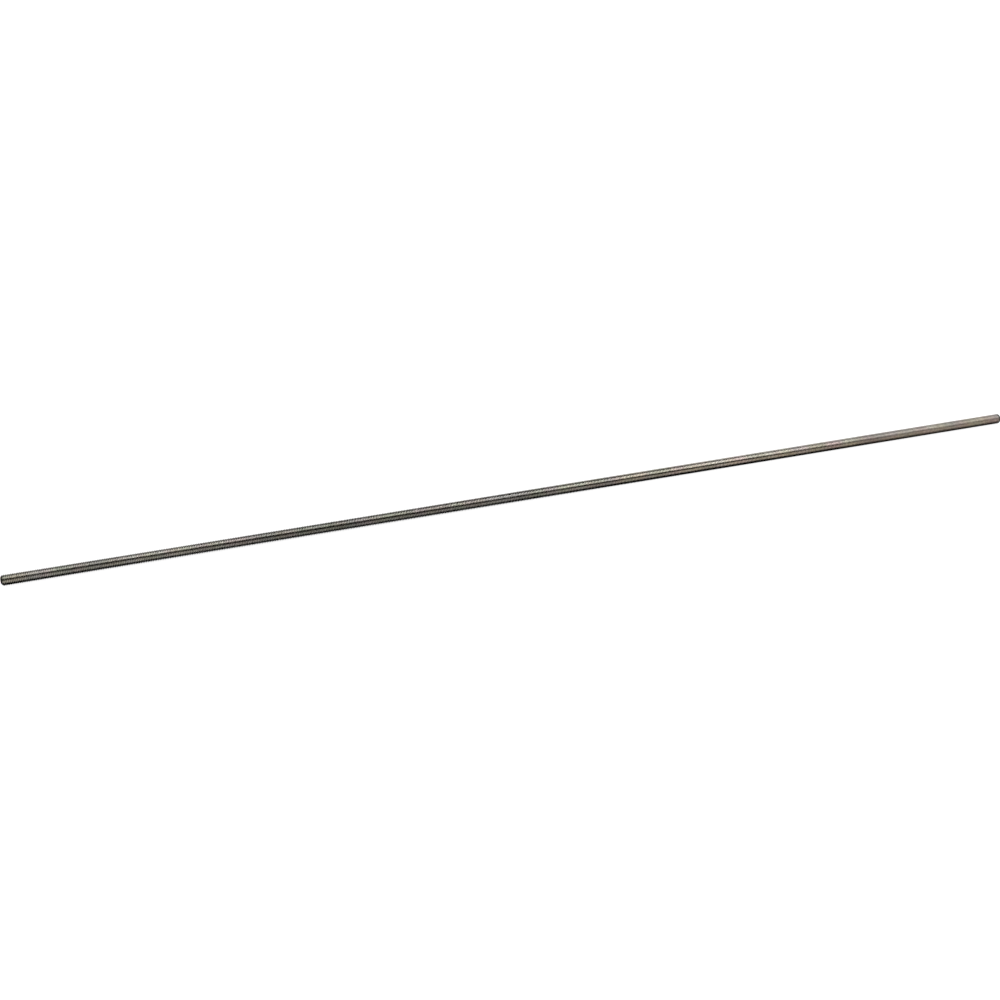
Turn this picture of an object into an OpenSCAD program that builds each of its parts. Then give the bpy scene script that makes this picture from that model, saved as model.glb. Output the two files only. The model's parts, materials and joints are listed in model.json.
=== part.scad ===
// Threaded rod: one steel bar, threaded over its whole length, with a chamfer on
// each end. It lies along X, with the origin at the middle of its axis.
//
// The bar is drawn at the thread's major diameter, the size over the crests. The
// thread itself is a fine one, several hundred turns, and is left to the surface
// finish. Its root diameter still sets how far the end chamfers run.

/* [Thread] */
// Major diameter of the thread, over its crests
thread_d = 10; // [4:0.5:24]
// Pitch of the thread, from one crest to the next
thread_pitch = 1.5; // [0.5:0.25:2]

/* [Rod] */
// Length of the rod, from end face to end face
rod_length = 1000; // [100:50:3000]

/* [Ends] */
// Angle of the end chamfer, measured from the rod's axis
chamfer_angle = 45; // [30:5:60]
// How far below the thread's root the chamfer runs, on the radius
chamfer_below_root = 0.7; // [0:0.05:1]

/* [Hidden] */
$fn = 96;

// A 60 degree thread: the sharp V it comes from is sqrt(3)/2 of a pitch high, and
// 17/24 of that height is left between the crest and the root.
sharp_v_height = thread_pitch * sqrt(3) / 2;
thread_height = sharp_v_height * 17 / 24;

thread_r = thread_d / 2;
root_r = thread_r - thread_height;
end_face_r = root_r - chamfer_below_root;
chamfer_length = (thread_r - end_face_r) / tan(chamfer_angle);
half_length = rod_length / 2;

// Half of the rod's lengthwise section, along +Y from one end to the other and
// standing off the axis by the radius in X.
module rod_half_section() {
    polygon([
        [0, -half_length],
        [end_face_r, -half_length],
        [thread_r, -half_length + chamfer_length],
        [thread_r, half_length - chamfer_length],
        [end_face_r, half_length],
        [0, half_length]
    ]);
}

// The bar, turned about its axis and laid along X.
module threaded_rod() {
    color("#8d8880")
        rotate([0, 90, 0])
            rotate_extrude()
                rod_half_section();
}

threaded_rod();
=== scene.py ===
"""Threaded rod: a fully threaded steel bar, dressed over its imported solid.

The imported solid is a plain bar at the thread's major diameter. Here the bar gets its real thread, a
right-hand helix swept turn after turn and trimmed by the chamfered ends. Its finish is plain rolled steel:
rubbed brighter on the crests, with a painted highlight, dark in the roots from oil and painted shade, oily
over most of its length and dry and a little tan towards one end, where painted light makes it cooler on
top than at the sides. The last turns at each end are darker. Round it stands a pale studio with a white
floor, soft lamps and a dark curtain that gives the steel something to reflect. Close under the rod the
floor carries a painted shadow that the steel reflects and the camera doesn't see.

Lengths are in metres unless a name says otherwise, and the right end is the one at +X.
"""

import json
import logging
import math
from collections.abc import Callable
from dataclasses import dataclass
from enum import Enum

import bmesh
import bpy
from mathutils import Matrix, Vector

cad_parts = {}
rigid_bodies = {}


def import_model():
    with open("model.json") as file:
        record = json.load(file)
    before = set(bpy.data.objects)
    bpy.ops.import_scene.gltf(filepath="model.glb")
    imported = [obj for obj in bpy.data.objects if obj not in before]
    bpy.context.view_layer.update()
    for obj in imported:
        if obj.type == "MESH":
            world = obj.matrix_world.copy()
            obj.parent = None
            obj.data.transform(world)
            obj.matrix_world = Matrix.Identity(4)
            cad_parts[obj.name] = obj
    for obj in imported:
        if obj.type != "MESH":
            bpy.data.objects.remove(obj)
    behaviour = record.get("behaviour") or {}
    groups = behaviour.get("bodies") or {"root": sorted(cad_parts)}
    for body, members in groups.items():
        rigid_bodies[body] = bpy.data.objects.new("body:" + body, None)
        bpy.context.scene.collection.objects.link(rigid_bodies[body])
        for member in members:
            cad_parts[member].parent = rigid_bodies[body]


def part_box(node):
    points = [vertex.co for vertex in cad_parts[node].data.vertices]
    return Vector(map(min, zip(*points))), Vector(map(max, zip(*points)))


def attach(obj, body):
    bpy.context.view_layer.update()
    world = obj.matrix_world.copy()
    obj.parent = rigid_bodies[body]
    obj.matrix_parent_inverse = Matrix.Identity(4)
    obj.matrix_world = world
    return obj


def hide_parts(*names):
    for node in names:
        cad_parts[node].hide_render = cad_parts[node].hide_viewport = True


LOG = logging.getLogger("threaded_rod")

MM = 0.001
NODE = "threaded_rod"
BODY = "root"

Colour = tuple[float, float, float, float]
Socket = bpy.types.NodeSocket
Sockets = dict[str, Socket]
Source = Socket | float | Colour

WHITE: Colour = (1.0, 1.0, 1.0, 1.0)

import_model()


class RodEnd(Enum):
    """The two ends of the rod, by the way each faces along X."""

    LEFT = -1
    RIGHT = 1


class Finish(Enum):
    """The finishes on the rod, by their place among its material slots."""

    THREAD = 0
    CUT_END = 1


# ----------------------------------------------------------------------------------------------------
# Selecting
# ----------------------------------------------------------------------------------------------------


def pick_nothing() -> None:
    """Leaves no object selected, so that an operator acts only on what is picked after it."""
    for other in bpy.context.view_layer.objects:
        other.select_set(False)


def take_up(piece: bpy.types.Object) -> None:
    """Makes one object the only selected one and the active one.

    Args:
        piece: The object that the next operators act on.
    """
    pick_nothing()
    piece.select_set(True)
    bpy.context.view_layer.objects.active = piece


def pick_faces(piece: bpy.types.Object, wanted: Callable[[bmesh.types.BMFace], bool]) -> None:
    """Selects faces of the piece that is in edit mode, and nothing else of it.

    Args:
        piece: The object in edit mode.
        wanted: A test that says whether a face is selected.
    """
    bpy.ops.mesh.select_mode(type="FACE")
    bpy.ops.mesh.select_all(action="DESELECT")
    mesh = bmesh.from_edit_mesh(piece.data)
    for face in mesh.faces:
        face.select_set(wanted(face))
    bmesh.update_edit_mesh(piece.data)


# ----------------------------------------------------------------------------------------------------
# The rod's shape
# ----------------------------------------------------------------------------------------------------


@dataclass(frozen=True)
class ThreadForm:
    """A screw thread of 60 degree form, cut from a sharp V.

    Attributes:
        major_radius: Radius over the crests.
        pitch: Distance from one crest to the next.
        flank_angle: Lean of each flank from square to the axis.
        height_share: Share of the sharp V's height that is left between root and crest.
        crest_share: Share of the pitch that the flat on the crest takes.
    """

    major_radius: float
    pitch: float = 1.5 * MM
    flank_angle: float = math.radians(30)
    height_share: float = 17 / 24
    crest_share: float = 1 / 8

    @property
    def height(self) -> float:
        """Height from root to crest."""
        sharp_height = self.pitch / 2 / math.tan(self.flank_angle)
        return sharp_height * self.height_share

    @property
    def root_radius(self) -> float:
        """Radius at the bottom of the groove."""
        return self.major_radius - self.height

    @property
    def crest_flat(self) -> float:
        """Width of the flat on the crest."""
        return self.pitch * self.crest_share

    @property
    def flank_run(self) -> float:
        """How far one flank reaches along the axis."""
        return self.height * math.tan(self.flank_angle)

    @property
    def root_flat(self) -> float:
        """Width of the flat at the root, which is what the rest leaves of the pitch."""
        return self.pitch - self.crest_flat - 2 * self.flank_run


@dataclass(frozen=True)
class UnrolledMap:
    """A flat map of the rod: its surface unrolled and folded into strips, its end faces in a row above.

    Attributes:
        length: Length of the rod.
        end_radius: Radius of its end faces.
        name: Name of the map.
        strips: How many strips, one above another, hold the unrolled length.
        ends_row: Height of the row for the end faces, against that of a strip.
        spare_along: Share of a strip's length that is left free at each end.
        spare_round: Share of its height that is left free above and below.
    """

    length: float
    end_radius: float
    name: str = "OFBake"
    strips: int = 6
    ends_row: float = 0.5
    spare_along: float = 0.006
    spare_round: float = 0.03

    @property
    def row_height(self) -> float:
        """Height of one strip on the map."""
        return 1 / (self.strips + self.ends_row)

    def lay(self, mesh: bpy.types.Mesh, is_end: Callable[[bpy.types.MeshPolygon], bool]) -> None:
        """Lays the map on a mesh, each face whole on its strip or its end.

        Args:
            mesh: The mesh of the trimmed rod.
            is_end: A test that says whether a face is a flat end face.
        """
        for layer in list(mesh.uv_layers):
            mesh.uv_layers.remove(layer)
        layer = mesh.uv_layers.new(name=self.name)
        for face in mesh.polygons:
            place = self.on_end if is_end(face) else self.on_strip
            for corner in face.loop_indices:
                point = mesh.vertices[mesh.loops[corner].vertex_index].co
                layer.uv[corner].vector = place(face.center, point)

    def on_strip(self, centre: Vector, point: Vector) -> tuple[float, float]:
        """Places a corner of a face of the thread or a chamfer.

        Args:
            centre: The face's centre, which picks the strip and the side of the seam along the underside.
            point: The corner.

        Returns:
            The corner's place on the map.
        """
        strip = int((centre.x / self.length + 0.5) * self.strips)
        along = (point.x / self.length + 0.5) * self.strips - strip
        middle = math.atan2(-centre.y, -centre.z) / math.tau
        turned = math.atan2(-point.y, -point.z) / math.tau - middle
        around = middle % 1 + turned - round(turned)
        u = self.spare_along + along * (1 - 2 * self.spare_along)
        v = self.spare_round + around * (1 - 2 * self.spare_round)
        return u, (strip + v) * self.row_height

    def on_end(self, centre: Vector, point: Vector) -> tuple[float, float]:
        """Places a corner of an end face.

        Args:
            centre: The face's centre, which picks the end.
            point: The corner.

        Returns:
            The corner's place on the map.
        """
        half = self.ends_row * self.row_height / 2
        scale = half * (1 - self.spare_round) / self.end_radius
        facing = math.copysign(1.0, centre.x)
        return half * (2 + facing) + point.y * facing * scale, 1 - half + point.z * scale


@dataclass
class ThreadedRod:
    """The rod: one bar along X, threaded from end to end, with a chamfer on each end.

    Attributes:
        length: Length from end face to end face.
        thread: Form of the thread.
        below_root: How far the chamfers run below the thread's root, on the radius.
        chamfer_angle: Angle of the chamfers from the axis.
        steps_round: How many steps make one turn of the thread.
        spare_turns: How many turns are swept past each end, before it is cut.
        weld_gap: Points nearer to each other than this become one.
        blank_sides: How many sides the trimming shape has.
        blank_cone: Length of the cone at each end of the trimming shape.
        smooth_below_deg: Angle between two faces up to which the edge between them is shaded smooth.
        normal_slack: How far a face's normal may be, along X, from the one that is looked for.
    """

    length: float
    thread: ThreadForm
    below_root: float = 0.7 * MM
    chamfer_angle: float = math.radians(45)
    steps_round: int = 36
    spare_turns: int = 3
    weld_gap: float = 0.01 * MM
    blank_sides: int = 96
    blank_cone: float = 6 * MM
    smooth_below_deg: float = 25.0
    normal_slack: float = 0.05

    @classmethod
    def from_solid(cls, node: str) -> "ThreadedRod":
        """Takes the rod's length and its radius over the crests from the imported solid.

        Args:
            node: Name of the CAD node that the rod stands for.

        Returns:
            The rod, sized to fill that node's box.
        """
        low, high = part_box(node)
        return cls(length=high.x - low.x, thread=ThreadForm(major_radius=(high.z - low.z) / 2))

    @property
    def end_radius(self) -> float:
        """Radius of the flat end face inside the chamfer."""
        return self.thread.root_radius - self.below_root

    @property
    def chamfer_length(self) -> float:
        """How far the chamfer reaches along the axis."""
        return (self.thread.major_radius - self.end_radius) / math.tan(self.chamfer_angle)

    def build(self) -> bpy.types.Object:
        """Builds the finished rod.

        Returns:
            The rod, with its place in its mesh.
        """
        rod = self.sweep_thread()
        self.weld(rod)
        self.close_tube(rod)
        self.cut_ends(rod)
        self.weld(rod)
        self.shade(rod)
        self.unroll(rod)
        return rod

    def sweep_thread(self) -> bpy.types.Object:
        """Sweeps one pitch of the thread's outline round the axis, turn after turn, as a right-hand helix.

        Returns:
            An open tube of thread, a few turns longer than the rod at each end.
        """
        form = self.thread
        turns = math.ceil(self.length / form.pitch) + 2 * self.spare_turns
        bpy.ops.mesh.primitive_plane_add(size=form.pitch)
        tube = bpy.context.object
        tube.name = NODE + "_thread"
        take_up(tube)
        bpy.ops.object.mode_set(mode="EDIT")
        bpy.ops.mesh.select_all(action="SELECT")
        # The plane is drawn together into one point, which the outline then starts from.
        bpy.ops.mesh.merge(type="CENTER")
        outline = (
            (form.crest_flat, 0.0),
            (form.flank_run, -form.height),
            (form.root_flat, 0.0),
            (form.flank_run, form.height),
        )
        for along, outward in outline:
            bpy.ops.mesh.extrude_region_move(TRANSFORM_OT_translate={"value": (along, 0.0, outward)})
        bpy.ops.mesh.select_all(action="SELECT")
        bpy.ops.transform.translate(value=(-turns * form.pitch / 2, 0.0, form.major_radius))
        bpy.ops.object.mode_set(mode="OBJECT")
        screw = tube.modifiers.new("helix", "SCREW")
        screw.axis = "X"
        screw.angle = math.tau
        screw.screw_offset = form.pitch
        screw.iterations = turns
        screw.steps = screw.render_steps = self.steps_round
        bpy.ops.object.modifier_apply(modifier=screw.name)
        return tube

    def weld(self, rod: bpy.types.Object) -> None:
        """Joins points that all but coincide: where one turn meets the next, and along the cuts.

        Args:
            rod: The thread, open or closed.
        """
        take_up(rod)
        bpy.ops.object.mode_set(mode="EDIT")
        bpy.ops.mesh.select_all(action="SELECT")
        bpy.ops.mesh.remove_doubles(threshold=self.weld_gap)
        bpy.ops.object.mode_set(mode="OBJECT")

    def close_tube(self, tube: bpy.types.Object) -> None:
        """Closes the tube with a flat cut past each end of the rod.

        Args:
            tube: The open tube of thread.
        """
        take_up(tube)
        bpy.ops.object.mode_set(mode="EDIT")
        for end in RodEnd:
            cut = end.value * (self.length / 2 + self.thread.pitch)
            bpy.ops.mesh.select_all(action="SELECT")
            bpy.ops.mesh.bisect(
                plane_co=(cut, 0.0, 0.0), plane_no=(end.value, 0.0, 0.0), use_fill=True, clear_outer=True
            )
        bpy.ops.mesh.select_all(action="SELECT")
        bpy.ops.mesh.normals_make_consistent(inside=False)
        bpy.ops.object.mode_set(mode="OBJECT")

    def make_blank(self) -> bpy.types.Object:
        """Makes the shape that trims the thread: wider than the rod, with the chamfer's cone at each end.

        Returns:
            The trimming shape, centred on the rod's axis.
        """
        wide_radius = self.end_radius + self.blank_cone * math.tan(self.chamfer_angle)
        bpy.ops.mesh.primitive_cylinder_add(
            vertices=self.blank_sides,
            radius=wide_radius,
            depth=self.length - 2 * self.blank_cone,
            rotation=(0.0, math.radians(90), 0.0),
        )
        blank = bpy.context.object
        take_up(blank)
        bpy.ops.object.transform_apply(location=True, rotation=True, scale=True)
        bpy.ops.object.mode_set(mode="EDIT")
        taper = self.end_radius / wide_radius
        for end in RodEnd:
            pick_faces(blank, lambda face: face.normal.x * end.value > 1 - self.normal_slack)
            bpy.ops.mesh.extrude_region_move(
                TRANSFORM_OT_translate={"value": (end.value * self.blank_cone, 0.0, 0.0)}
            )
            bpy.ops.transform.resize(
                value=(1.0, taper, taper), center_override=(end.value * self.length / 2, 0.0, 0.0)
            )
        bpy.ops.object.mode_set(mode="OBJECT")
        return blank

    def cut_ends(self, rod: bpy.types.Object) -> None:
        """Trims the thread to the rod's length and chamfers both ends, through crests and flanks alike.

        Args:
            rod: The closed tube of thread.
        """
        blank = self.make_blank()
        take_up(rod)
        trim = rod.modifiers.new("trim", "BOOLEAN")
        trim.operation = "INTERSECT"
        trim.solver = "MANIFOLD"
        trim.object = blank
        bpy.ops.object.modifier_apply(modifier=trim.name)
        bpy.data.objects.remove(blank)

    def shade(self, rod: bpy.types.Object) -> None:
        """Shades the rod smooth round its axis, and keeps the thread's edges sharp.

        Args:
            rod: The trimmed rod.
        """
        take_up(rod)
        bpy.ops.object.shade_smooth_by_angle(angle=math.radians(self.smooth_below_deg))

    def is_cut(self, face: bpy.types.MeshPolygon) -> bool:
        """Says whether a face is part of a cut end, its flat face or its chamfer.

        Args:
            face: A face of the trimmed rod.

        Returns:
            True where the face lies in a chamfer's reach and looks the way that the end or chamfer does.
        """
        if abs(face.center.x) < self.length / 2 - self.chamfer_length:
            return False
        slant = abs(face.normal.x)
        return min(abs(slant - 1.0), abs(slant - math.sin(self.chamfer_angle))) < self.normal_slack

    def unroll(self, rod: bpy.types.Object) -> None:
        """Gives the rod a flat map of its surface.

        Args:
            rod: The trimmed rod.
        """
        unrolled = UnrolledMap(length=self.length, end_radius=self.end_radius)
        unrolled.lay(rod.data, lambda face: abs(face.normal.x) > 1 - self.normal_slack)

    def dress(self, rod: bpy.types.Object) -> None:
        """Gives the thread and the cut ends their materials.

        Args:
            rod: The shaded rod.
        """
        thread_steel = ThreadSteel(
            half_length=self.length / 2,
            root_radius=self.thread.root_radius,
            crest_radius=self.thread.major_radius,
        )
        rod.data.materials.clear()
        rod.data.materials.append(thread_steel.make())
        rod.data.materials.append(CutSteel(end_radius=self.end_radius).make())
        for face in rod.data.polygons:
            finish = Finish.CUT_END if self.is_cut(face) else Finish.THREAD
            face.material_index = finish.value


# ----------------------------------------------------------------------------------------------------
# The steel
# ----------------------------------------------------------------------------------------------------


@dataclass(frozen=True)
class Range:
    """A range of a value, which may run downwards."""

    start: float
    stop: float


UNIT = Range(0.0, 1.0)


class Graph:
    """A shader node tree that is being wired up."""

    def __init__(self, tree: bpy.types.NodeTree) -> None:
        """Takes up a tree.

        Args:
            tree: The tree that nodes are added to.
        """
        self.tree = tree

    def add(self, kind: str, **settings: object) -> bpy.types.Node:
        """Adds a node.

        Args:
            kind: Type of the node.
            **settings: Properties of the node, by name.

        Returns:
            The new node.
        """
        node = self.tree.nodes.new(kind)
        for name, value in settings.items():
            setattr(node, name, value)
        return node

    def feed(self, socket: Socket, source: Source) -> None:
        """Links an output to a socket, or sets the socket to a plain value.

        Args:
            socket: The input to feed.
            source: An output socket, a number or a colour.
        """
        if isinstance(source, bpy.types.NodeSocket):
            self.tree.links.new(source, socket)
        else:
            socket.default_value = source

    def math(self, operation: str, first: Source, second: Source = 0.0) -> Socket:
        """Adds a Math node and returns its result.

        Args:
            operation: What the node does, such as MULTIPLY.
            first: First operand.
            second: Second operand, where the operation has one.

        Returns:
            The node's output.
        """
        node = self.add("ShaderNodeMath", operation=operation)
        self.feed(node.inputs[0], first)
        self.feed(node.inputs[1], second)
        return node.outputs[0]

    def length(self, first: Source, second: Source) -> Socket:
        """Gives the length of a line from its reach in two directions at right angles.

        Args:
            first: Its reach in one direction.
            second: Its reach in the other.

        Returns:
            The length.
        """
        squares = [self.math("MULTIPLY", reach, reach) for reach in (first, second)]
        return self.math("SQRT", self.math("ADD", *squares))

    def spread(self, value: Socket, over: Range, onto: Range = UNIT) -> Socket:
        """Maps a range of a value smoothly onto another, and holds it beyond both ends.

        Args:
            value: The value to map.
            over: The range it is mapped from.
            onto: The range it is mapped to.

        Returns:
            The mapped value.
        """
        node = self.add("ShaderNodeMapRange", interpolation_type="SMOOTHSTEP")
        for socket, source in zip(node.inputs, (value, over.start, over.stop, onto.start, onto.stop)):
            self.feed(socket, source)
        return node.outputs[0]

    def vector(self, x: Source, y: Source, z: Source) -> Socket:
        """Joins three numbers to a vector.

        Args:
            x: First part.
            y: Second part.
            z: Third part.

        Returns:
            The vector.
        """
        node = self.add("ShaderNodeCombineXYZ")
        for socket, source in zip(node.inputs, (x, y, z)):
            self.feed(socket, source)
        return node.outputs[0]

    def own_place(self) -> tuple[Socket, Socket, Socket]:
        """Gives where a point lies along its object's own axes.

        Returns:
            Its place along X, Y and Z.
        """
        parts = self.add("ShaderNodeSeparateXYZ")
        self.feed(parts.inputs[0], self.add("ShaderNodeTexCoord").outputs["Object"])
        return tuple(parts.outputs)

    def noise(self, place: Socket, detail: float) -> Socket:
        """Adds a noise texture with one feature to a unit of place.

        Args:
            place: Where the noise is read.
            detail: How many finer layers are added.

        Returns:
            The noise, from 0 to 1.
        """
        node = self.add("ShaderNodeTexNoise")
        self.feed(node.inputs["Vector"], place)
        self.feed(node.inputs["Scale"], 1.0)
        self.feed(node.inputs["Detail"], detail)
        return node.outputs[0]

    def bump(self, shader: bpy.types.Node, height: Socket, distance: float) -> None:
        """Lets a height disturb a shader's normal.

        Args:
            shader: The shader.
            height: The height, from 0 to 1.
            distance: How deep the bumps are, in metres.
        """
        node = self.add("ShaderNodeBump")
        self.feed(node.inputs["Distance"], distance)
        self.feed(node.inputs["Height"], height)
        self.feed(shader.inputs["Normal"], node.outputs[0])

    def mix(self, share: Source, first: Source, second: Source, blend: str = "MIX") -> Socket:
        """Mixes two colours.

        Args:
            share: How much of the second colour is taken, from 0 to 1.
            first: First colour.
            second: Second colour.
            blend: How the second is laid over the first.

        Returns:
            The mixed colour.
        """
        # The node has sockets for each type of data. Inputs 6 and 7 and output 2 are those for colours.
        node = self.add("ShaderNodeMix", data_type="RGBA", blend_type=blend)
        self.feed(node.inputs[0], share)
        self.feed(node.inputs[6], first)
        self.feed(node.inputs[7], second)
        return node.outputs[2]


def new_group(name: str, takes: tuple[str, ...], gives: tuple[str, ...]) -> tuple[Graph, Sockets, Sockets]:
    """Starts a shader node group whose inputs and outputs are all plain numbers.

    Args:
        name: Name of the group.
        takes: Names of its inputs.
        gives: Names of its outputs.

    Returns:
        The group's graph, the sockets that its inputs are read from and those that its outputs are fed to.
    """
    tree = bpy.data.node_groups.new(name, "ShaderNodeTree")
    for side, names in (("INPUT", takes), ("OUTPUT", gives)):
        for port in names:
            tree.interface.new_socket(name=port, in_out=side, socket_type="NodeSocketFloat")
    graph = Graph(tree)
    entry = graph.add("NodeGroupInput")
    leave = graph.add("NodeGroupOutput")
    given = {port: entry.outputs[port] for port in takes}
    wanted = {port: leave.inputs[port] for port in gives}
    return graph, given, wanted


def use_group(graph: Graph, name: str, **inputs: Source) -> Sockets:
    """Places a shader node group in a graph.

    Args:
        graph: The graph that the group is placed in.
        name: Name of the group.
        **inputs: What its inputs are fed, by name.

    Returns:
        The group's outputs, by name.
    """
    node = graph.add("ShaderNodeGroup", node_tree=bpy.data.node_groups[name])
    for key, source in inputs.items():
        graph.feed(node.inputs[key], source)
    return {socket.name: socket for socket in node.outputs}


ROUND_PLACE = "place_round_axis"
WORKED_LINES = "worked_lines"
PATCHES = "patches"

# How many finer layers each noise has, its middle value, and the values over which a patch fades in.
LINE_DETAIL = 3.0
PATCH_DETAIL = 1.5
NOISE_MIDDLE = 0.5
PATCH_EDGE = Range(0.35, 0.65)


def build_round_place() -> None:
    """Builds the group that tells where a point lies on the rod.

    Along is its place on the axis, Around its angle round the axis in turns, Radius its distance from the
    axis, Height how far it is above the axis, and Rise the sine of the angle at which it stands above it.
    """
    graph, _, wanted = new_group(ROUND_PLACE, (), ("Along", "Around", "Radius", "Height", "Rise"))
    along, across, up = graph.own_place()
    radius = graph.length(across, up)
    graph.feed(wanted["Along"], along)
    graph.feed(wanted["Around"], graph.math("DIVIDE", graph.math("ARCTAN2", up, across), math.tau))
    graph.feed(wanted["Radius"], radius)
    graph.feed(wanted["Height"], up)
    graph.feed(wanted["Rise"], graph.math("DIVIDE", up, radius))


def build_worked_lines() -> None:
    """Builds the group for the fine lines that a tool leaves as it runs round the axis.

    Lines_per_mm is how many lie side by side, and Breaks_round how often each changes on its way round.
    """
    graph, given, wanted = new_group(WORKED_LINES, ("Lines_per_mm", "Breaks_round"), ("Lines",))
    place = use_group(graph, ROUND_PLACE)
    density = graph.math("DIVIDE", given["Lines_per_mm"], MM)
    spot = graph.vector(
        graph.math("MULTIPLY", place["Along"], density),
        graph.math("MULTIPLY", place["Around"], given["Breaks_round"]),
        graph.math("MULTIPLY", place["Radius"], density),
    )
    graph.feed(wanted["Lines"], graph.noise(spot, LINE_DETAIL))


def build_patches() -> None:
    """Builds the group for soft-edged patches on the rod, such as oil, dust and rust leave.

    Length_mm and Width_mm are about how large they are, and Seed picks where they lie.
    """
    graph, given, wanted = new_group(PATCHES, ("Length_mm", "Width_mm", "Seed"), ("Patch",))
    place = use_group(graph, ROUND_PLACE)
    spot = graph.vector(
        graph.math("DIVIDE", place["Along"], graph.math("MULTIPLY", given["Length_mm"], MM)),
        graph.math("DIVIDE", place["Height"], graph.math("MULTIPLY", given["Width_mm"], MM)),
        given["Seed"],
    )
    graph.feed(wanted["Patch"], graph.spread(graph.noise(spot, PATCH_DETAIL), PATCH_EDGE))


NewMaterial = tuple[bpy.types.Material, Graph, bpy.types.Node]


def new_material(name: str) -> NewMaterial:
    """Starts a material.

    Args:
        name: Name of the material.

    Returns:
        The material, its graph and its shader.
    """
    material = bpy.data.materials.new(name)
    material.use_nodes = True
    return material, Graph(material.node_tree), material.node_tree.nodes["Principled BSDF"]


def new_metal(name: str, edge_tint: Colour) -> NewMaterial:
    """Starts a bare metal material.

    Args:
        name: Name of the material.
        edge_tint: Tint of what the metal reflects at a glancing angle.

    Returns:
        The material, its graph and its shader.
    """
    material, graph, shader = new_material(name)
    shader.inputs["Metallic"].default_value = 1.0
    shader.inputs["Specular Tint"].default_value = edge_tint
    return material, graph, shader


@dataclass(frozen=True)
class PatchyTint:
    """A tint that lies on the steel in patches of about one size.

    Attributes:
        tint: What the steel's colour is multiplied by in a patch.
        length_mm: Length of a patch along the rod.
        width_mm: Its width.
        seed: Picks where the patches lie.
    """

    tint: Colour
    length_mm: float
    width_mm: float
    seed: float

    def mark(self, graph: Graph) -> Socket:
        """Marks where the patches lie.

        Args:
            graph: The material's graph.

        Returns:
            The mask of the patches.
        """
        sizes = {"Length_mm": self.length_mm, "Width_mm": self.width_mm, "Seed": self.seed}
        return use_group(graph, PATCHES, **sizes)["Patch"]

    def lay(self, graph: Graph, colour: Source) -> Socket:
        """Tints a colour where the patches lie.

        Args:
            graph: The material's graph.
            colour: The colour under the patches.

        Returns:
            The tinted colour.
        """
        return graph.mix(self.mark(graph), colour, self.tint, "MULTIPLY")


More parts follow.
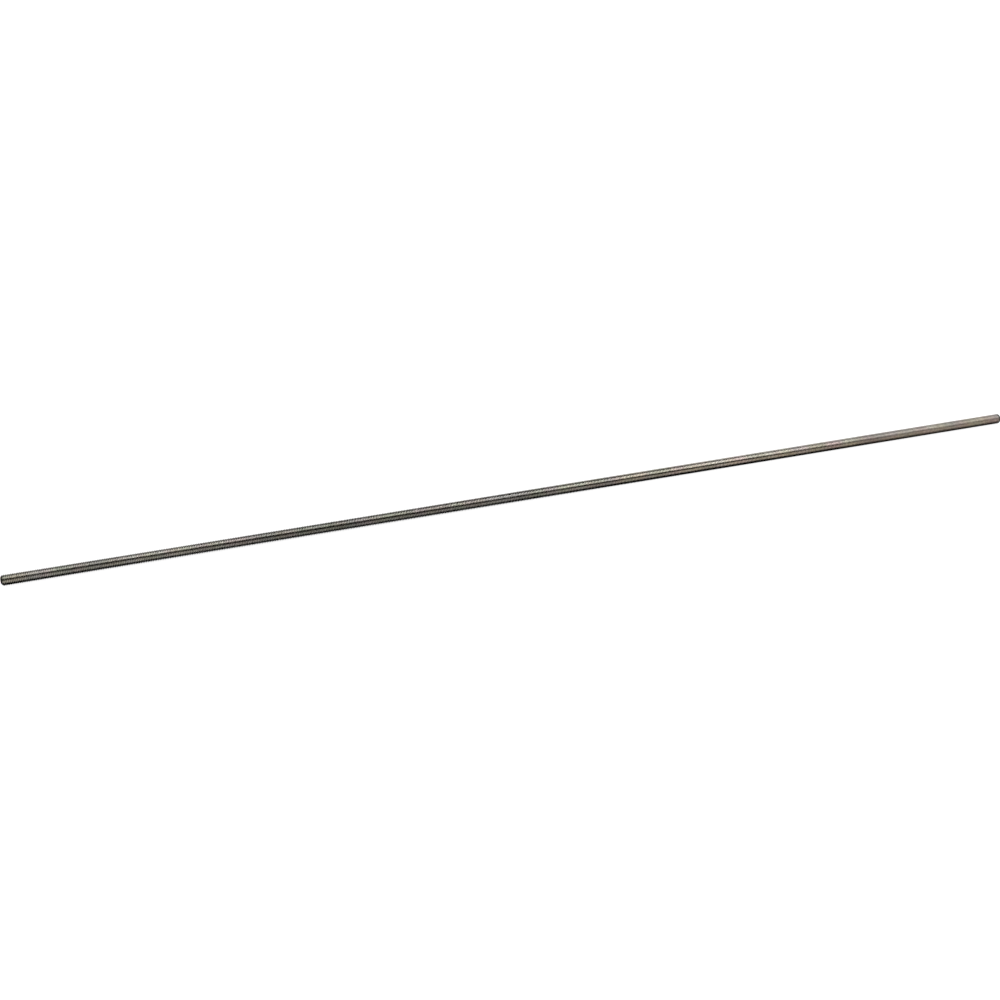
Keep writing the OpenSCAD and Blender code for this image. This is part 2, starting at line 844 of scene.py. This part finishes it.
@dataclass(frozen=True)
class ThreadSteel:
    """Plain rolled steel of the thread: oily and dark over most of its length, drier and tan to the right.

    Places along the rod are counted from its middle, and colours that are called a tint multiply what is
    under them.

    Attributes:
        half_length: Half the rod's length.
        root_radius: Radius at the thread's root.
        crest_radius: Radius over its crests.
        oiled: Colour of the oily steel.
        darkest: Its colour where the oil is thickest.
        dry_top_painted_light: Colour of the dry steel on top, made cooler by painted light.
        dry_front_painted_light: Its colour at the sides and below, made warmer by painted light.
        darkening: Where along the rod the oil thickens.
        lightening: Where along the rod it thins again, counted from the right.
        drying: Where along the rod the oil gives way to dry steel.
        painted_light_rise: Where the painted light turns from top to sides, as the sine of the angle above
            the axis.
        roughening: Where along the rod the steel goes from smooth to rough.
        roughness: Its roughness, from left to right.
        films: The patches of oil film and dust.
        root_oil_and_shade: Tint of the roots, for oil and dirt there and painted shade in the grooves.
        root_oil_and_shade_depth: How far up from the root it reaches.
        grime_roughness: How much roughness the oil in the roots adds.
        crest_wear_and_highlight: Tint of the crests: wear from handling, and a painted highlight.
        crest_wear_and_highlight_depth: How far below the crests the wear and painted highlight fade in.
        end_darkening: Tint that darkens the last turns at each end.
        end_darkening_left: How far from the left end they run, and where they are darkest.
        end_darkening_right: The same from the right end.
        lines_per_mm: How close the lines of the rolling lie.
        line_breaks: How often each line changes on its way round.
        line_depth: How deep the lines are.
        line_roughness: How far they change the roughness, from the smoothest line to the roughest.
        edge_tint: Tint of what the steel reflects at a glancing angle.
    """

    half_length: float
    root_radius: float
    crest_radius: float
    oiled: Colour = (0.583, 0.568, 0.545, 1.0)
    darkest: Colour = (0.445, 0.437, 0.421, 1.0)
    dry_top_painted_light: Colour = (0.555, 0.520, 0.497, 1.0)
    dry_front_painted_light: Colour = (0.602, 0.536, 0.482, 1.0)
    darkening: Range = Range(-0.36, -0.20)
    lightening: Range = Range(0.20, 0.0)
    drying: Range = Range(-0.10, 0.30)
    painted_light_rise: Range = Range(0.95, 0.45)
    roughening: Range = Range(0.18, 0.42)
    roughness: Range = Range(0.20, 0.38)
    films: tuple[PatchyTint, ...] = (
        PatchyTint((1.06, 0.970, 0.985, 1.0), length_mm=20.0, width_mm=12.0, seed=3.0),
        PatchyTint((0.97, 1.020, 0.910, 1.0), length_mm=24.0, width_mm=12.0, seed=40.0),
        PatchyTint((0.84, 0.840, 0.840, 1.0), length_mm=45.0, width_mm=20.0, seed=80.0),
        PatchyTint((0.80, 0.800, 0.800, 1.0), length_mm=2.0, width_mm=2.5, seed=120.0),
    )
    root_oil_and_shade: Colour = (0.63, 0.61, 0.58, 1.0)
    root_oil_and_shade_depth: float = 0.35 * MM
    grime_roughness: float = 0.08
    crest_wear_and_highlight: Colour = (1.13, 1.13, 1.13, 1.0)
    crest_wear_and_highlight_depth: Range = Range(0.12 * MM, 0.02 * MM)
    end_darkening: Colour = (0.25, 0.25, 0.25, 1.0)
    end_darkening_left: Range = Range(2.6 * MM, 1.2 * MM)
    end_darkening_right: Range = Range(3.8 * MM, 1.8 * MM)
    lines_per_mm: float = 9.0
    line_breaks: float = 5.0
    line_depth: float = 0.004 * MM
    line_roughness: float = 0.06
    edge_tint: Colour = (0.4, 0.4, 0.4, 1.0)

    def make(self) -> bpy.types.Material:
        """Makes the material.

        Returns:
            The finished material.
        """
        material, graph, shader = new_metal("rolled_steel", self.edge_tint)
        place = use_group(graph, ROUND_PLACE)
        sizes = {"Lines_per_mm": self.lines_per_mm, "Breaks_round": self.line_breaks}
        lines = use_group(graph, WORKED_LINES, **sizes)["Lines"]
        roots = graph.spread(place["Radius"], Range(self.root_radius + self.root_oil_and_shade_depth, self.root_radius))
        colour = self.bare_colour(graph, place)
        for film in self.films:
            colour = film.lay(graph, colour)
        # The roots are darkened: oil and dirt, and painted shade in the grooves.
        colour = graph.mix(roots, colour, self.root_oil_and_shade, "MULTIPLY")
        # The crests are lightened: wear from handling, and a painted highlight.
        colour = graph.mix(self.crests(graph, place["Radius"]), colour, self.crest_wear_and_highlight, "MULTIPLY")
        # The last turns at each end are darkened.
        colour = graph.mix(self.darkened_ends(graph, place["Along"]), colour, self.end_darkening, "MULTIPLY")
        graph.feed(shader.inputs["Base Color"], colour)
        roughness = graph.spread(place["Along"], self.roughening, self.roughness)
        roughness = graph.math("ADD", roughness, graph.math("MULTIPLY", roots, self.grime_roughness))
        swing = graph.math("MULTIPLY", graph.math("SUBTRACT", lines, NOISE_MIDDLE), self.line_roughness)
        graph.feed(shader.inputs["Roughness"], graph.math("ADD", roughness, swing))
        graph.bump(shader, lines, self.line_depth)
        return material

    def bare_colour(self, graph: Graph, place: Sockets) -> Socket:
        """Gives the steel's colour under its films, darkest left of the middle and tan on the right, with
        painted light making the dry steel cooler on top than at the sides.

        Args:
            graph: The material's graph.
            place: The outputs of the group for the place on the rod.

        Returns:
            The colour.
        """
        along = place["Along"]
        from_left = graph.spread(along, self.darkening)
        from_right = graph.spread(along, self.lightening)
        colour = graph.mix(graph.math("MULTIPLY", from_left, from_right), self.oiled, self.darkest)
        # Painted light: the dry steel is cooler on top and warmer at the sides and below.
        dry = graph.mix(graph.spread(place["Rise"], self.painted_light_rise), self.dry_top_painted_light, self.dry_front_painted_light)
        return graph.mix(graph.spread(along, self.drying), colour, dry)

    def crests(self, graph: Graph, radius: Socket) -> Socket:
        """Marks the crests.

        Args:
            graph: The material's graph.
            radius: Distance from the axis.

        Returns:
            The mask.
        """
        below = graph.math("SUBTRACT", self.crest_radius, radius)
        return graph.spread(below, self.crest_wear_and_highlight_depth)

    def darkened_ends(self, graph: Graph, along: Socket) -> Socket:
        """Marks the last turns at each end.

        Args:
            graph: The material's graph.
            along: Place along the rod.

        Returns:
            The mask.
        """
        from_left = graph.math("ADD", self.half_length, along)
        from_right = graph.math("SUBTRACT", self.half_length, along)
        return graph.math(
            "ADD", graph.spread(from_left, self.end_darkening_left), graph.spread(from_right, self.end_darkening_right)
        )


@dataclass(frozen=True)
class CutSteel:
    """Steel of the cut ends: a dark face with the rings of the cut, and a nearly black chamfer.

    Attributes:
        end_radius: Radius of the end face.
        bare: Colour of the bare steel.
        dulled: Patches that dirt has dulled.
        rusty: Patches with a little rust.
        chamfer: Tint of the chamfer.
        worn: Tint of the face's rim, which knocks have worn bright.
        worn_reach: How far in from the rim the wear fades in.
        worn_roughness: Roughness where the wear is strongest.
        roughness: Roughness of the bare steel, and of the dulled patches.
        rings_per_mm: How close the rings lie.
        ring_breaks: How often each ring changes on its way round.
        ring_depth: How deep the rings are.
        edge_tint: Tint of what the steel reflects at a glancing angle.
    """

    end_radius: float
    bare: Colour = (0.150, 0.143, 0.135, 1.0)
    dulled: PatchyTint = PatchyTint((0.40, 0.40, 0.40, 1.0), length_mm=3.0, width_mm=3.5, seed=200.0)
    rusty: PatchyTint = PatchyTint((1.30, 0.98, 0.78, 1.0), length_mm=2.0, width_mm=2.5, seed=240.0)
    chamfer: Colour = (0.11, 0.11, 0.11, 1.0)
    worn: Colour = (1.7, 1.7, 1.7, 1.0)
    worn_reach: Range = Range(0.25 * MM, 0.03 * MM)
    worn_roughness: float = 0.34
    roughness: Range = Range(0.42, 0.55)
    rings_per_mm: float = 4.0
    ring_breaks: float = 2.0
    ring_depth: float = 0.03 * MM
    edge_tint: Colour = (0.15, 0.15, 0.15, 1.0)

    def make(self) -> bpy.types.Material:
        """Makes the material.

        Returns:
            The finished material.
        """
        material, graph, shader = new_metal("cut_steel", self.edge_tint)
        radius = use_group(graph, ROUND_PLACE)["Radius"]
        sizes = {"Lines_per_mm": self.rings_per_mm, "Breaks_round": self.ring_breaks}
        rings = use_group(graph, WORKED_LINES, **sizes)["Lines"]
        on_chamfer = graph.math("GREATER_THAN", radius, self.end_radius)
        from_rim = graph.math("SUBTRACT", self.end_radius, radius)
        # The mask for the chamfer moves its points a metre from the rim, so nothing on it counts as worn.
        worn = graph.spread(graph.math("ADD", from_rim, on_chamfer), self.worn_reach)
        colour = self.rusty.lay(graph, self.dulled.lay(graph, self.bare))
        colour = graph.mix(on_chamfer, colour, self.chamfer, "MULTIPLY")
        graph.feed(shader.inputs["Base Color"], graph.mix(worn, colour, self.worn, "MULTIPLY"))
        unworn = graph.spread(self.dulled.mark(graph), UNIT, self.roughness)
        polish = graph.math("MULTIPLY", worn, self.roughness.start - self.worn_roughness)
        graph.feed(shader.inputs["Roughness"], graph.math("SUBTRACT", unworn, polish))
        graph.bump(shader, rings, self.ring_depth)
        return material


# ----------------------------------------------------------------------------------------------------
# The studio
# ----------------------------------------------------------------------------------------------------


@dataclass(frozen=True)
class View:
    """Where the camera stands and what it looks at.

    Attributes:
        heading_deg: How far it looks to the right of straight across the rod.
        down_deg: How far it looks down.
        distance: How far it is from what it aims at.
        aim: The point that it aims at.
        sensor_mm: Width of its sensor.
        lens_mm: Length of its lens.
    """

    heading_deg: float = 15.046
    down_deg: float = 37.240
    distance: float = 1.1043
    aim: tuple[float, float, float] = (-0.04625, 0.0, -0.00068)
    sensor_mm: float = 36.0
    lens_mm: float = 41.4

    def place(self) -> None:
        """Adds the camera and makes it the scene's own."""
        heading, down = math.radians(self.heading_deg), math.radians(self.down_deg)
        forward = Vector(
            (math.sin(heading) * math.cos(down), math.cos(heading) * math.cos(down), -math.sin(down))
        )
        data = bpy.data.cameras.new("camera")
        data.sensor_width = self.sensor_mm
        data.lens = self.lens_mm
        camera = bpy.data.objects.new("camera", data)
        camera.location = Vector(self.aim) - forward * self.distance
        camera.rotation_euler = forward.to_track_quat("-Z", "Y").to_euler()
        bpy.context.scene.collection.objects.link(camera)
        bpy.context.scene.camera = camera


@dataclass(frozen=True)
class Softbox:
    """A rectangular lamp that hangs along the rod and faces the line of its axis.

    Attributes:
        name: Name of the lamp.
        place: Where its middle hangs.
        size: Its length along the rod and its width across it.
        power: Its power in watts.
        colour: Colour of its light.
    """

    name: str
    place: tuple[float, float, float]
    size: tuple[float, float]
    power: float
    colour: tuple[float, float, float] = (0.965, 0.985, 1.0)

    def hang(self) -> None:
        """Adds the lamp."""
        data = bpy.data.lights.new(self.name, "AREA")
        data.shape = "RECTANGLE"
        data.size, data.size_y = self.size
        data.energy = self.power
        data.color = self.colour
        lamp = bpy.data.objects.new(self.name, data)
        lamp.location = self.place
        _, across, up = self.place
        lamp.rotation_euler = Vector((0.0, across, up)).to_track_quat("Z", "Y").to_euler()
        bpy.context.scene.collection.objects.link(lamp)


def seen_directly(graph: Graph) -> Socket:
    """Adds a mask that is 1 for what is seen, straight or in metal and glass, and 0 for light on things.

    Args:
        graph: The graph that the mask is made in.

    Returns:
        The mask.
    """
    path = graph.add("ShaderNodeLightPath")
    in_metal = graph.math("MAXIMUM", path.outputs["Is Camera Ray"], path.outputs["Is Glossy Ray"])
    return graph.math("MAXIMUM", in_metal, path.outputs["Is Transmission Ray"])


@dataclass(frozen=True)
class Studio:
    """A pale studio: white floor and surround, soft lamps overhead and a dark curtain for the steel.

    Attributes:
        rod_length: Length of the rod.
        rod_radius: Its radius over the crests.
        lamps: The lamps, end to end overhead. The brighter one starts near the rod's right end.
        floor_size: Length and width of the floor.
        floor_colour: Colour of the floor under the lamps.
        painted_floor_shadow: Its colour close to the rod, a painted shadow that all but the camera see.
        painted_shadow_radii: How many of the rod's radii from its axis the painted shadow starts to fade,
            and is gone.
        floor_glow: How bright the floor looks before the lamps add to it.
        ambient: How strongly the surround lights things, against 1 for how it looks.
        curtain_radius: How far off the curtain hangs.
        curtain_from_deg: How high above the floor its lower edge is seen from the rod.
        curtain_to_deg: How high its upper edge is seen.
        curtain_lean_deg: How far it is turned about Y, across the rod.
        curtain_sides: How many sides it has.
        curtain_colour: Colour of its cloth.
    """

    rod_length: float
    rod_radius: float
    lamps: tuple[Softbox, ...] = (
        Softbox("overhead_left", place=(-1.3, 0.20, 2.21), size=(3.4, 2.2), power=54.0),
        Softbox("overhead_right", place=(1.9, -0.06, 2.22), size=(3.0, 2.2), power=60.0),
    )
    floor_size: float = 16.0
    floor_colour: Colour = (0.20, 0.20, 0.20, 1.0)
    painted_floor_shadow: Colour = (0.01, 0.01, 0.01, 1.0)
    painted_shadow_radii: Range = Range(1.9, 3.4)
    floor_glow: float = 0.92
    ambient: float = 0.45
    curtain_radius: float = 4.0
    curtain_from_deg: float = 19.0
    curtain_to_deg: float = 74.0
    curtain_lean_deg: float = -2.0
    curtain_sides: int = 64
    curtain_colour: Colour = (0.02, 0.02, 0.02, 1.0)

    def build(self) -> None:
        """Builds the studio and what stands in it, and sets how the picture shows its colours."""
        self.lay_floor()
        self.hang_curtain()
        for lamp in self.lamps:
            lamp.hang()
        self.light_surround()
        bpy.context.scene.view_settings.view_transform = "Standard"

    def lay_floor(self) -> bpy.types.Object:
        """Lays the floor at the rod's underside.

        Returns:
            The floor.
        """
        bpy.ops.mesh.primitive_plane_add(size=self.floor_size, location=(0.0, 0.0, -self.rod_radius))
        floor = bpy.context.object
        floor.name = "floor"
        material, graph, shader = new_material("white_floor")
        outside_shadow = self.floor_outside_shadow(graph)
        # Close to the rod the floor's colour is a painted shadow, which the camera doesn't see.
        graph.feed(shader.inputs["Base Color"], graph.mix(outside_shadow, self.painted_floor_shadow, self.floor_colour))
        shader.inputs["Roughness"].default_value = 1.0
        shader.inputs["Specular IOR Level"].default_value = 0.0
        shader.inputs["Emission Color"].default_value = WHITE
        # The glow fades into the same painted shadow close to the rod, except for the camera.
        shown = graph.math("MULTIPLY", seen_directly(graph), outside_shadow)
        graph.feed(shader.inputs["Emission Strength"], graph.math("MULTIPLY", shown, self.floor_glow))
        floor.data.materials.append(material)
        return floor

    def floor_outside_shadow(self, graph: Graph) -> Socket:
        """Marks the floor outside a painted shadow, which is full under the rod and gone a few of its
        radii away.

        The rod's shade doesn't dim the floor's own glow, so its shadow is painted into the glow and the
        floor's colour; without this the steel's lower half would reflect that glow at full strength.

        Args:
            graph: The floor material's graph.

        Returns:
            The mask, 0 in the painted shadow and 1 outside it, and 1 all over for the camera.
        """
        along, across, _ = graph.own_place()
        past_end = graph.math("SUBTRACT", graph.math("ABSOLUTE", along), self.rod_length / 2)
        away = graph.length(graph.math("MAXIMUM", past_end, 0.0), across)
        outside_shadow = graph.spread(graph.math("DIVIDE", away, self.rod_radius), self.painted_shadow_radii)
        straight = graph.add("ShaderNodeLightPath").outputs["Is Camera Ray"]
        return graph.math("MAXIMUM", outside_shadow, straight)

    def hang_curtain(self) -> bpy.types.Object:
        """Hangs a dark curtain right round, above a strip of white surround, for the steel to reflect.

        Returns:
            The curtain.
        """
        low, high = math.radians(self.curtain_from_deg), math.radians(self.curtain_to_deg)
        bottom = self.curtain_radius * math.sin(low)
        top = self.curtain_radius * math.sin(high)
        bpy.ops.mesh.primitive_cone_add(
            vertices=self.curtain_sides,
            radius1=self.curtain_radius * math.cos(low),
            radius2=self.curtain_radius * math.cos(high),
            depth=top - bottom,
            end_fill_type="NOTHING",
            location=(0.0, 0.0, (bottom + top) / 2),
        )
        curtain = bpy.context.object
        take_up(curtain)
        bpy.ops.transform.rotate(
            value=math.radians(self.curtain_lean_deg), orient_axis="Y", center_override=(0.0, 0.0, 0.0)
        )
        curtain.name = "dark_curtain"
        curtain.visible_camera = False
        curtain.visible_diffuse = False
        curtain.visible_shadow = False
        material, _, shader = new_material("dark_cloth")
        shader.inputs["Base Color"].default_value = self.curtain_colour
        shader.inputs["Roughness"].default_value = 1.0
        curtain.data.materials.append(material)
        return curtain

    def light_surround(self) -> None:
        """Makes the surround white to look at, and lets it light the scene softly."""
        world = bpy.data.worlds.new("studio")
        world.use_nodes = True
        graph = Graph(world.node_tree)
        background = world.node_tree.nodes["Background"]
        background.inputs["Color"].default_value = WHITE
        strength = graph.spread(seen_directly(graph), UNIT, Range(self.ambient, 1.0))
        graph.feed(background.inputs["Strength"], strength)
        bpy.context.scene.world = world


def main() -> None:
    """Builds the rod, its finish and the studio."""
    logging.basicConfig(level=logging.INFO, format="%(name)s: %(message)s")
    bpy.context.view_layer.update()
    View().place()
    for build_group in (build_round_place, build_worked_lines, build_patches):
        build_group()
    maker = ThreadedRod.from_solid(NODE)
    rod = maker.build()
    maker.dress(rod)
    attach(rod, BODY)
    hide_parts(NODE)
    LOG.info("%s: %d faces, %.1f mm long", rod.name, len(rod.data.polygons), maker.length / MM)
    Studio(rod_length=maker.length, rod_radius=maker.thread.major_radius).build()


if __name__ == "__main__":
    main()
